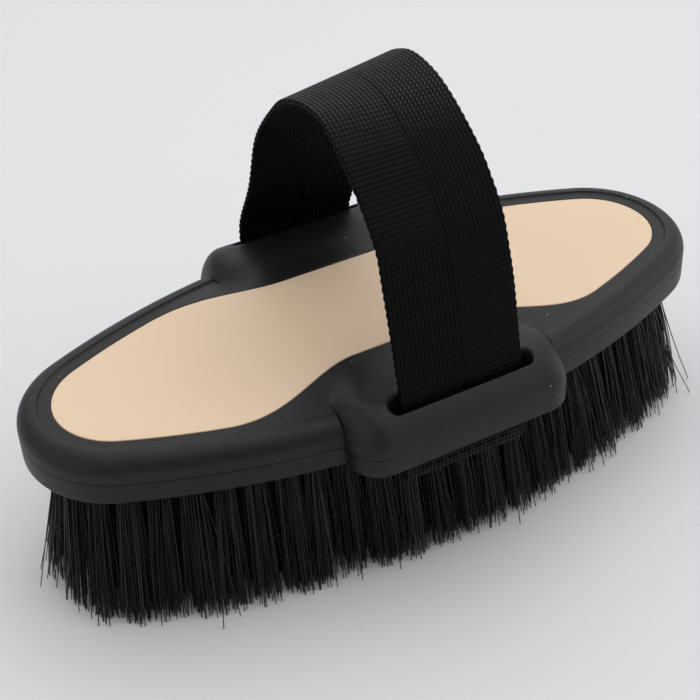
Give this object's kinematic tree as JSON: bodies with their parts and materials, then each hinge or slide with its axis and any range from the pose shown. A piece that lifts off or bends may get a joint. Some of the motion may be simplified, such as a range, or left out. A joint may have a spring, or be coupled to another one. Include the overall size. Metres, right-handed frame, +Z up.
{
  "type": "grooming body brush",
  "caption": "Oval grooming brush with a rubber-framed back, pale inlay, dense dark bristles and a webbing hand strap looped through an ear on each side.",
  "frame": {"origin": "on the floor under the middle of the brush, at the level of the bristle tips", "axes": "+X along the length of the oval back, +Y across it towards the rear ear, +Z up"},
  "size_m": [0.215, 0.1106, 0.1279],
  "materials": {
    "base_plastic": "matte black moulded plastic",
    "soft_rubber": "soft matte black rubber",
    "inlay_plastic": "satin beige",
    "bristle": "black synthetic bristle",
    "anchor_wire": "bright flat wire",
    "webbing": "woven black webbing",
    "sewing_thread": "black sewing thread"
  },
  "bodies": {
    "brush": {"base_plate": "base_plastic", "top_frame": "soft_rubber", "inlay_panel": "inlay_plastic", "tuft_row_1": "bristle", "tuft_row_2": "bristle", "tuft_row_3": "bristle", "tuft_row_4": "bristle", "tuft_row_5": "bristle", "tuft_row_6": "bristle", "tuft_anchors": "anchor_wire"},
    "strap": {"hand_strap": "webbing", "front_hem_thread": "sewing_thread", "rear_hem_thread": "sewing_thread"}
  },
  "joints": [
    {"name": "strap_lean", "type": "hinge", "parent": "brush", "child": "strap", "pos_m": [0, 0, 0.052], "axis": [0, 1, 0], "range_deg": [-7, 7], "stiffness_Nm_per_rad": 0.15}
  ]
}
